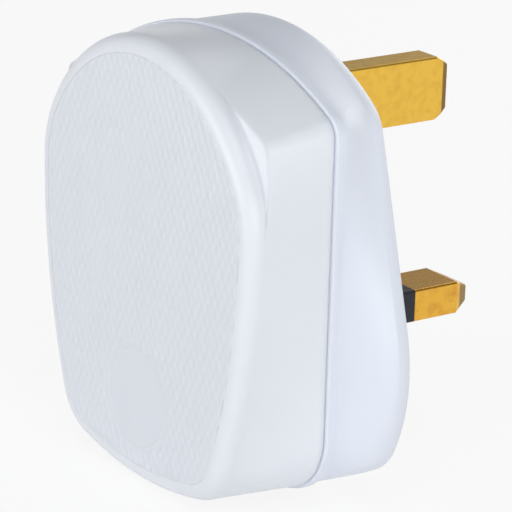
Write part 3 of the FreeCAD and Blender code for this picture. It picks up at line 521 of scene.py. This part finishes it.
def mesh_piece(
    name: str,
    points: np.ndarray,
    faces: np.ndarray,
    material: bpy.types.Material,
) -> bpy.types.Object:
    """Makes a piece of the plug from whole arrays.

    Args:
        name: The piece's name.
        points: Places in metres, one row a point.
        faces: Point numbers, one row a face, triangles with their last number repeated.
        material: The piece's finish.

    Returns:
        The piece, riding on the plug's body.
    """
    mesh = bpy.data.meshes.new(name)
    three = faces[:, 2] == faces[:, 3]
    sizes = np.where(three, 3, 4).astype(np.int32)
    starts = np.concatenate(([0], np.cumsum(sizes)[:-1])).astype(np.int32)
    used = np.ones(faces.shape, dtype=bool)
    used[three, 3] = False
    corners = faces[used].astype(np.int32)
    mesh.vertices.add(len(points))
    mesh.vertices.foreach_set("co", points.astype(np.float32).ravel())
    mesh.loops.add(len(corners))
    mesh.loops.foreach_set("vertex_index", corners)
    mesh.polygons.add(len(sizes))
    mesh.polygons.foreach_set("loop_start", starts)
    mesh.polygons.foreach_set("use_smooth", np.ones(len(sizes), dtype=bool))
    mesh.update(calc_edges=True)
    mesh.validate()
    mesh.materials.append(material)
    piece = bpy.data.objects.new(name, mesh)
    bpy.context.scene.collection.objects.link(piece)
    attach(piece, "root")
    LOG.info("made %s with %d faces", name, len(sizes))
    return piece


def smooth_step(value: np.ndarray) -> np.ndarray:
    """Eases from 0 to 1, as 3 squares less 2 cubes of the value held between 0 and 1."""
    held = np.clip(value, 0.0, 1.0)
    return held * held * (3.0 - 2.0 * held)


@dataclass
class Housing:
    """The two moulded halves, and the knurl and the plain roundel moulded on the rear face.

    Lengths are in millimetres, apart from those of the finishes.
    """

    cover_finish: MouldedFinish = MouldedFinish(
        "white_cover_moulding",
        tone=(0.79, 0.812, 0.862),
        shade=(0.765, 0.79, 0.842),
        smooth=0.27,
        rough=0.36,
        edge_radius=0.0009,
    )
    base_finish: MouldedFinish = MouldedFinish(
        "white_base_moulding",
        tone=(0.775, 0.807, 0.888),
        shade=(0.75, 0.784, 0.868),
        smooth=0.34,
        rough=0.44,
    )
    knurl_finish: EdgeShadedFinish = EdgeShadedFinish(
        "white_knurl",
        tone=(0.751, 0.773, 0.826),
        shade=(0.727, 0.752, 0.808),
        grain_scale=2600.0,
        smooth=0.46,
        rough=0.6,
        relief=0.00002,
    )
    ring_finish: MouldedFinish = MouldedFinish(
        "white_ring",
        tone=(0.751, 0.773, 0.826),
        shade=(0.727, 0.752, 0.808),
        smooth=0.42,
        rough=0.55,
    )
    slot: str = "white_moulding"
    panel_inset: float = 0.25
    panel_lift: float = 0.03
    panel_edge: float = 0.3
    # Width over which the painted shade along the panel's border eases off, in millimetres.
    edge_shade_width: float = 0.22
    panel_skin: float = 0.004
    knurl_width: float = 1.31
    knurl_height: float = 2.44
    knurl_relief: float = 0.08
    rows: int = 340
    columns: int = 270
    roundel_height: float = -10.4
    roundel_radius: float = 6.2
    roundel_band: float = 0.45
    roundel_lift: float = 0.05
    roundel_fade: float = 0.4
    roundel_steps: int = 192
    band_steps: int = 9

    def build(self) -> None:
        """Dresses both halves and lays the knurl and the roundel on the rear face."""
        dress(self.cover_finish.material(), "cover")
        dress(self.base_finish.material(), "base")
        self.make_knurl()
        self.make_roundel()

    def rear_border(self) -> tuple[np.ndarray, np.ndarray, float]:
        """Reads the border of the flat of the rear face, on its +X side.

        Returns:
            The border's heights in rising order and its half widths there, both drawn in by the
            panel's inset, and the depth of the flat, all in metres.
        """
        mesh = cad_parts["cover"].data
        places = np.empty(len(mesh.vertices) * 3, dtype=np.float32)
        mesh.vertices.foreach_get("co", places)
        places = places.reshape(-1, 3).astype(float)
        depth = places[:, 1].min()
        flat = places[(places[:, 1] < depth + FLAT_TOLERANCE) & (places[:, 0] > -FLAT_TOLERANCE)]
        up, first = np.unique(flat[:, 2].round(HEIGHT_DIGITS), return_index=True)
        half = np.maximum(flat[first, 0], 0.0)
        middle = 0.5 * (up[0] + up[-1])
        inset = self.panel_inset * MM
        drawn_up = middle + (up - middle) * (1.0 - 2.0 * inset / (up[-1] - up[0]))
        return drawn_up, half * (1.0 - inset / half.max()), depth

    def knurl(self, across: np.ndarray, up: np.ndarray) -> np.ndarray:
        """Works out the diamonds of the mould's knurl.

        Two sets of rounded grooves cross at the slant of a diamond. Each set is the square of a
        raised cosine of the distance across it, and a diamond stands where neither set runs.

        Args:
            across: Distances along X in metres.
            up: Distances along Z in metres.

        Returns:
            The share of the relief at each point, 0 in a groove and 1 on a diamond.
        """
        turn_x = 2 * math.pi * across / (self.knurl_width * MM)
        turn_z = 2 * math.pi * up / (self.knurl_height * MM)
        rising = (0.5 + 0.5 * np.cos(turn_x + turn_z)) ** 2
        falling = (0.5 + 0.5 * np.cos(turn_x - turn_z)) ** 2
        return (1.0 - rising) * (1.0 - falling)

    def make_knurl(self) -> None:
        """Lays the knurled panel on the flat of the rear face.

        The panel is a function of a height, spaced by a cosine so that rows crowd at both ends,
        and a share of the half width there, from minus one to one. It rises from its border over
        a short edge, and the diamonds ride on that rise and fade out over the roundel. A painted
        shade along the border, standing in for the shade of the edge step, falls off in the same
        eased way. One strip across each row closes it underneath, on the flat.
        """
        border_up, border_half, depth = self.rear_border()
        sweep = 0.5 - 0.5 * np.cos(np.linspace(0.0, math.pi, self.rows))
        height = border_up[0] + sweep * (border_up[-1] - border_up[0])
        half = np.interp(height, border_up, border_half)
        share = np.linspace(-1.0, 1.0, self.columns)[None, :]
        across = half[:, None] * share
        up = np.broadcast_to(height[:, None], across.shape)
        to_side = (1.0 - np.abs(share)) * half[:, None]
        to_end = np.minimum(up - height[0], height[-1] - up)
        to_border = np.minimum(to_side, to_end)
        rise = smooth_step(to_border / (self.panel_edge * MM))
        # Painted shade along the panel's border: full at the border, eased off inwards.
        edge_shaded = 1.0 - smooth_step(to_border / (self.edge_shade_width * MM))
        from_roundel = np.hypot(across, up - self.roundel_height * MM) - self.roundel_radius * MM
        bare = np.clip(from_roundel / (self.roundel_fade * MM), 0.0, 1.0)
        relief = self.knurl_relief * self.knurl(across, up) * bare
        lift = ((self.panel_lift + relief) * rise + self.panel_skin) * MM
        top = np.stack([across, depth - lift, up, edge_shaded], -1)
        under = top[:, [0, -1]].copy()
        under[..., 1] = depth
        points, faces = self.close_panel(top, under)
        white = self.knurl_finish.material()
        panel = mesh_piece("rear_knurl_panel", points[:, :3], faces, white)
        # The border attribute carries each point's share of the painted edge shade.
        border = panel.data.attributes.new(BORDER, "FLOAT", "POINT")
        border.data.foreach_set("value", points[:, 3].astype(np.float32))

    @staticmethod
    def close_panel(top: np.ndarray, under: np.ndarray) -> tuple[np.ndarray, np.ndarray]:
        """Joins a panel's top and underside, whose first and last rows are single points.

        The points of each are numbered with both end points first. A face at an end is a
        triangle, so its corners are turned until the repeated one comes last.

        Args:
            top: The top's points, by row and column, each a place and its share of painted shade.
            under: The underside's points at the left and right of each row.

        Returns:
            The points and the faces, with triangles at both ends.
        """
        numbers = []
        blocks = []
        first = 0
        for block in (top, under):
            inner = block[1:-1].reshape(-1, block.shape[-1])
            number = np.empty(block.shape[:2], dtype=np.int64)
            number[0] = first
            number[-1] = first + 1
            number[1:-1] = first + 2 + np.arange(len(inner)).reshape(len(block) - 2, -1)
            numbers.append(number)
            blocks.extend([block[0, :1], block[-1, :1], inner])
            first += 2 + len(inner)
        upper, lower = numbers
        quads = np.stack([upper[:-1, :-1], upper[:-1, 1:], upper[1:, 1:], upper[1:, :-1]], -1)
        quads[0] = np.roll(quads[0], 2, axis=-1)
        strip = np.stack([lower[:-1, 0], lower[1:, 0], lower[1:, 1], lower[:-1, 1]], -1)
        strip[0] = np.roll(strip[0], -1)
        strip[-1] = np.roll(strip[-1], 1)
        loops = [np.concatenate([number[:, 0], number[-2:0:-1, -1]]) for number in numbers]
        ahead = [np.roll(loop, -1) for loop in loops]
        wall = np.stack([loops[0], ahead[0], ahead[1], loops[1]], -1)
        return np.concatenate(blocks), np.concatenate([quads.reshape(-1, 4), strip, wall])

    def make_roundel(self) -> None:
        """Lays a plain raised ring on the lower rear face.

        The ring is a low half oval profile, closed underneath, carried round a circle.
        """
        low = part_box("cover")[0][1] - (self.panel_lift + self.panel_skin) * MM
        turn = np.linspace(0.0, 2 * math.pi, self.roundel_steps, endpoint=False)[None, :]
        swing = np.linspace(0.0, math.pi, self.band_steps)[:, None]
        radius = (self.roundel_radius + 0.5 * self.roundel_band * np.cos(swing)) * MM
        depth = low - self.roundel_lift * np.sin(swing) * MM
        across = radius * np.cos(turn)
        up = radius * np.sin(turn) + self.roundel_height * MM
        points = np.stack([across, np.broadcast_to(depth, across.shape), up], -1)
        number = np.arange(across.size).reshape(across.shape)
        below = np.roll(number, -1, axis=0)
        corners = [number, np.roll(number, -1, axis=1), np.roll(below, -1, axis=1), below]
        faces = np.stack(corners, -1).reshape(-1, 4)
        white = self.ring_finish.material()
        mesh_piece("rear_roundel_ring", points.reshape(-1, 3), faces, white)


@dataclass
class Pins:
    """The three brass pins and the sleeves of the two live ones."""

    earth_brass: MetalFinish = MetalFinish(
        "earth_pin_brass",
        bright=(0.88, 0.545, 0.085),
        tarnish=(0.76, 0.46, 0.072),
        # Painted shade on the earth pin's chamfered tip, past its tip start.
        tip_shade=(0.24, 0.125, 0.015),
        tip_start=0.0217,
        lay=Lay.ALONG_PIN,
        tarnish_scale=900.0,
        polished=0.32,
        dull=0.44,
    )
    live_brass: MetalFinish = MetalFinish(
        "live_pin_brass",
        bright=(0.84, 0.48, 0.07),
        tarnish=(0.68, 0.33, 0.05),
        tip_start=0.0162,
        lay=Lay.ALONG_PIN,
        tarnish_scale=700.0,
        polished=0.24,
        dull=0.36,
    )
    sleeve: MouldedFinish = MouldedFinish(
        "sleeve_plastic",
        tone=(0.012, 0.012, 0.017),
        shade=(0.02, 0.02, 0.026),
        cloud_scale=300.0,
        grain_scale=5200.0,
        smooth=0.36,
        rough=0.5,
        sheen_level=0.35,
    )

    def build(self) -> None:
        """Dresses the pins and their sleeves."""
        dress(self.earth_brass.material(), "earth_pin")
        dress(self.live_brass.material(), "neutral_pin", "line_pin")
        dress(self.sleeve.material(), "neutral_sleeve", "line_sleeve")


@dataclass
class Terminals:
    """The loose terminal behind the line pin and the three wire screws."""

    brass: MetalFinish = MetalFinish(
        "terminal_brass",
        bright=(0.8, 0.56, 0.2),
        tarnish=(0.5, 0.34, 0.13),
        polished=0.26,
        dull=0.5,
    )
    steel: MetalFinish = MetalFinish(
        "screw_steel",
        bright=(0.66, 0.66, 0.64),
        tarnish=(0.42, 0.41, 0.38),
        lay=Lay.ACROSS_HEAD,
        polished=0.22,
        dull=0.4,
    )

    def build(self) -> bpy.types.Material:
        """Dresses the terminal and its screws.

        Returns:
            The screws' steel, for the other fixings.
        """
        dress(self.brass.material(), "line_terminal")
        steel = self.steel.material()
        dress(steel, "earth_terminal_screw", "neutral_terminal_screw", "line_terminal_screw")
        return steel


@dataclass
class FuseSet:
    """The fuse, its two caps, the wire inside it and the two spring clips."""

    ceramic: MouldedFinish = MouldedFinish(
        "fuse_ceramic",
        tone=(0.72, 0.68, 0.59),
        shade=(0.66, 0.62, 0.53),
        cloud_scale=380.0,
        smooth=0.3,
        rough=0.5,
    )
    nickel: MetalFinish = MetalFinish(
        "cap_nickel",
        bright=(0.7, 0.68, 0.63),
        tarnish=(0.5, 0.48, 0.43),
        polished=0.16,
        dull=0.32,
    )
    bronze: MetalFinish = MetalFinish(
        "clip_bronze",
        bright=(0.74, 0.47, 0.25),
        tarnish=(0.45, 0.28, 0.15),
        lay=Lay.ALONG_SPRING,
        polished=0.24,
        dull=0.46,
    )
    wire: MetalFinish = MetalFinish(
        "fuse_wire_metal",
        bright=(0.72, 0.73, 0.74),
        tarnish=(0.5, 0.5, 0.5),
        lay=Lay.ALONG_SPRING,
        polished=0.2,
        dull=0.36,
    )

    def build(self) -> None:
        """Dresses the fuse and its clips."""
        dress(self.ceramic.material(), "fuse_barrel")
        dress(self.nickel.material(), "lower_fuse_cap", "upper_fuse_cap")
        dress(self.bronze.material(), "lower_fuse_clip", "upper_fuse_clip")
        dress(self.wire.material(), "fuse_wire")


@dataclass
class Fixings:
    """The cord grip, the cover's screw, its fibre keeper and the brass insert."""

    grip: MouldedFinish = MouldedFinish(
        "grip_plastic",
        tone=(0.62, 0.63, 0.63),
        shade=(0.56, 0.57, 0.575),
        smooth=0.36,
        rough=0.5,
    )
    fibre: MouldedFinish = MouldedFinish(
        "washer_fibre",
        tone=(0.42, 0.11, 0.07),
        shade=(0.3, 0.075, 0.05),
        cloud_scale=900.0,
        grain_scale=6000.0,
        smooth=0.6,
        rough=0.8,
    )
    insert: MetalFinish = MetalFinish(
        "insert_brass",
        bright=(0.78, 0.55, 0.2),
        tarnish=(0.5, 0.34, 0.13),
    )

    def build(self, steel: bpy.types.Material) -> None:
        """Dresses the grip and the fixings.

        Args:
            steel: The finish of the screws.
        """
        dress(self.grip.material(), "cord_grip_bar")
        dress(steel, "cord_grip_screws", "cover_screw")
        dress(self.fibre.material(), "screw_keeper_washer")
        dress(self.insert.material(), "cover_insert")


@dataclass(frozen=True)
class SoftBox:
    """One large soft lamp, with its place and side in metres, its power in watts and its colour."""

    name: str
    place: Triple
    power: float
    side: float = 0.5
    colour: Colour = (1.0, 1.0, 1.0)

    def build(self, aim: Vector) -> None:
        """Hangs the lamp and turns it to the aim point.

        Args:
            aim: The point that the lamp faces.
        """
        light = bpy.data.lights.new(self.name, "AREA")
        light.shape = "SQUARE"
        light.size = self.side
        light.energy = self.power
        light.color = self.colour
        lamp = bpy.data.objects.new(self.name, light)
        bpy.context.scene.collection.objects.link(lamp)
        lamp.location = self.place
        lamp.rotation_euler = (aim - Vector(self.place)).to_track_quat("-Z", "Y").to_euler()
        LOG.info("hung %s", self.name)


@dataclass(frozen=True)
class Viewpoint:
    """The camera, with angles in degrees, lengths in millimetres and its focal length in pixels."""

    azimuth: float = 54.837
    elevation: float = 18.178
    roll: float = 1.642
    distance: float = 354.759
    slide_across: float = 0.945
    slide_up: float = -3.264
    focal_pixels: float = 2994.2
    frame_pixels: float = 512.0
    sensor: float = 36.0
    nearest: float = 10.0
    farthest: float = 100000.0
    aim: Triple = (0.0, -5.0, 8.0)

    def build(self) -> None:
        """Sets the camera at the picture's viewing angle."""
        around, above, tilt = map(math.radians, (self.azimuth, self.elevation, self.roll))
        away = Vector(
            (
                math.sin(around) * math.cos(above),
                -math.cos(around) * math.cos(above),
                math.sin(above),
            )
        )
        level = Vector((math.cos(around), math.sin(around), 0.0))
        upward = away.cross(level)
        right = math.cos(tilt) * level + math.sin(tilt) * upward
        top = -math.sin(tilt) * level + math.cos(tilt) * upward
        spot = Vector(self.aim) + away * self.distance
        spot += right * self.slide_across + top * self.slide_up
        camera = bpy.data.cameras.new("main_camera")
        camera.sensor_width = self.sensor
        camera.sensor_fit = "HORIZONTAL"
        camera.lens = self.focal_pixels / self.frame_pixels * self.sensor
        camera.clip_start = self.nearest * MM
        camera.clip_end = self.farthest * MM
        holder = bpy.data.objects.new("main_camera", camera)
        bpy.context.scene.collection.objects.link(holder)
        turned = Matrix((right, top, away)).transposed().to_4x4()
        holder.matrix_world = Matrix.Translation(spot * MM) @ turned
        bpy.context.scene.camera = holder
        LOG.info("set the camera")


@dataclass
class Studio:
    """The pale floor, the soft lamps, the surround and the camera, with lengths in metres.

    The surround's strength goes from pale to its own as a direction's upward share goes from
    the pale rise to the dim rise.
    """

    view: Viewpoint = Viewpoint()
    aim: Triple = (0.0, 0.0, 0.006)
    surround: float = 0.17
    pale: float = 0.92
    pale_rise: float = 0.08
    dim_rise: float = 0.36
    floor_colour: Colour = (0.95, 0.95, 0.95)
    floor_rough: float = 0.9
    floor_sheen: float = 0.1
    floor_half: float = 30.0
    floor_glow: float = 0.86
    lamps: list[SoftBox] = field(
        default_factory=lambda: [
            SoftBox("rear_lamp", (-0.178, -0.666, 0.122), 1.92),
            SoftBox("side_lamp", (0.67, -0.179, 0.097), 2.38),
            SoftBox("pin_lamp", (-0.217, 0.596, 0.296), 1.54),
            SoftBox("top_lamp", (0.325, -0.236, 0.573), 1.3, colour=(0.93, 1.0, 1.04)),
        ]
    )

    def build(self) -> None:
        """Sets out the floor, the lamps, the surround and the camera."""
        bpy.context.scene.view_settings.view_transform = "Standard"
        self.make_surround()
        self.make_floor()
        for lamp in self.lamps:
            lamp.build(Vector(self.aim))
        self.view.build()

    def make_surround(self) -> None:
        """Makes the surround that fills the shadows, white at the horizon and dim overhead."""
        world = bpy.data.worlds.new("studio_surround")
        world.use_nodes = True
        wiring = Wiring(world.node_tree)
        facing = wiring.add("ShaderNodeTexCoord").outputs["Generated"]
        rise = wiring.part_of(facing, "Z")
        strength = wiring.remap(rise, self.pale_rise, self.dim_rise, self.pale, self.surround)
        background = world.node_tree.nodes["Background"]
        background.inputs["Color"].default_value = WHITE
        wiring.feed(background.inputs["Strength"], strength)
        bpy.context.scene.world = world

    def floor_material(self) -> bpy.types.Material:
        """Builds the floor's finish, near white where it is seen and plain where it is lit.

        Camera, glossy and transmission rays see mostly an even white, over what is left of the
        lit floor with the plug's shadow on it.

        Returns:
            The material.
        """
        material = bpy.data.materials.new("pale_floor")
        material.use_nodes = True
        wiring = Wiring(material.node_tree)
        shader = material.node_tree.nodes["Principled BSDF"]
        shader.inputs["Base Color"].default_value = (*self.floor_colour, 1.0)
        shader.inputs["Roughness"].default_value = self.floor_rough
        shader.inputs["Specular IOR Level"].default_value = self.floor_sheen
        glow = wiring.add("ShaderNodeEmission")
        glow.inputs["Color"].default_value = WHITE
        glow.inputs["Strength"].default_value = 1.0
        path = wiring.add("ShaderNodeLightPath").outputs
        seen = wiring.calc(Sum.GREATER, path["Is Camera Ray"], path["Is Glossy Ray"])
        seen = wiring.calc(Sum.GREATER, seen, path["Is Transmission Ray"])
        mix = wiring.add("ShaderNodeMixShader")
        wiring.feed(mix.inputs[0], wiring.calc(Sum.TIMES, seen, self.floor_glow))
        wiring.feed(mix.inputs[1], shader.outputs[0])
        wiring.feed(mix.inputs[2], glow.outputs[0])
        output = material.node_tree.nodes["Material Output"]
        wiring.feed(output.inputs["Surface"], mix.outputs[0])
        return material

    def make_floor(self) -> None:
        """Lays the pale floor, a square under the plug's lowest point."""
        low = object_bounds()[0][2]
        half = self.floor_half
        corners = [(-half, -half, low), (half, -half, low), (half, half, low), (-half, half, low)]
        mesh = bpy.data.meshes.new("floor")
        mesh.from_pydata(corners, [], [(0, 1, 2, 3)])
        mesh.materials.append(self.floor_material())
        floor = bpy.data.objects.new("floor", mesh)
        bpy.context.scene.collection.objects.link(floor)
        floor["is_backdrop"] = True
        LOG.info("laid the floor")


def main() -> None:
    """Builds the studio and every sub-assembly in order."""
    logging.basicConfig(level=logging.INFO, format="%(message)s")
    Studio().build()
    Housing().build()
    Pins().build()
    steel = Terminals().build()
    FuseSet().build()
    Fixings().build(steel)


if __name__ == "__main__":
    main()
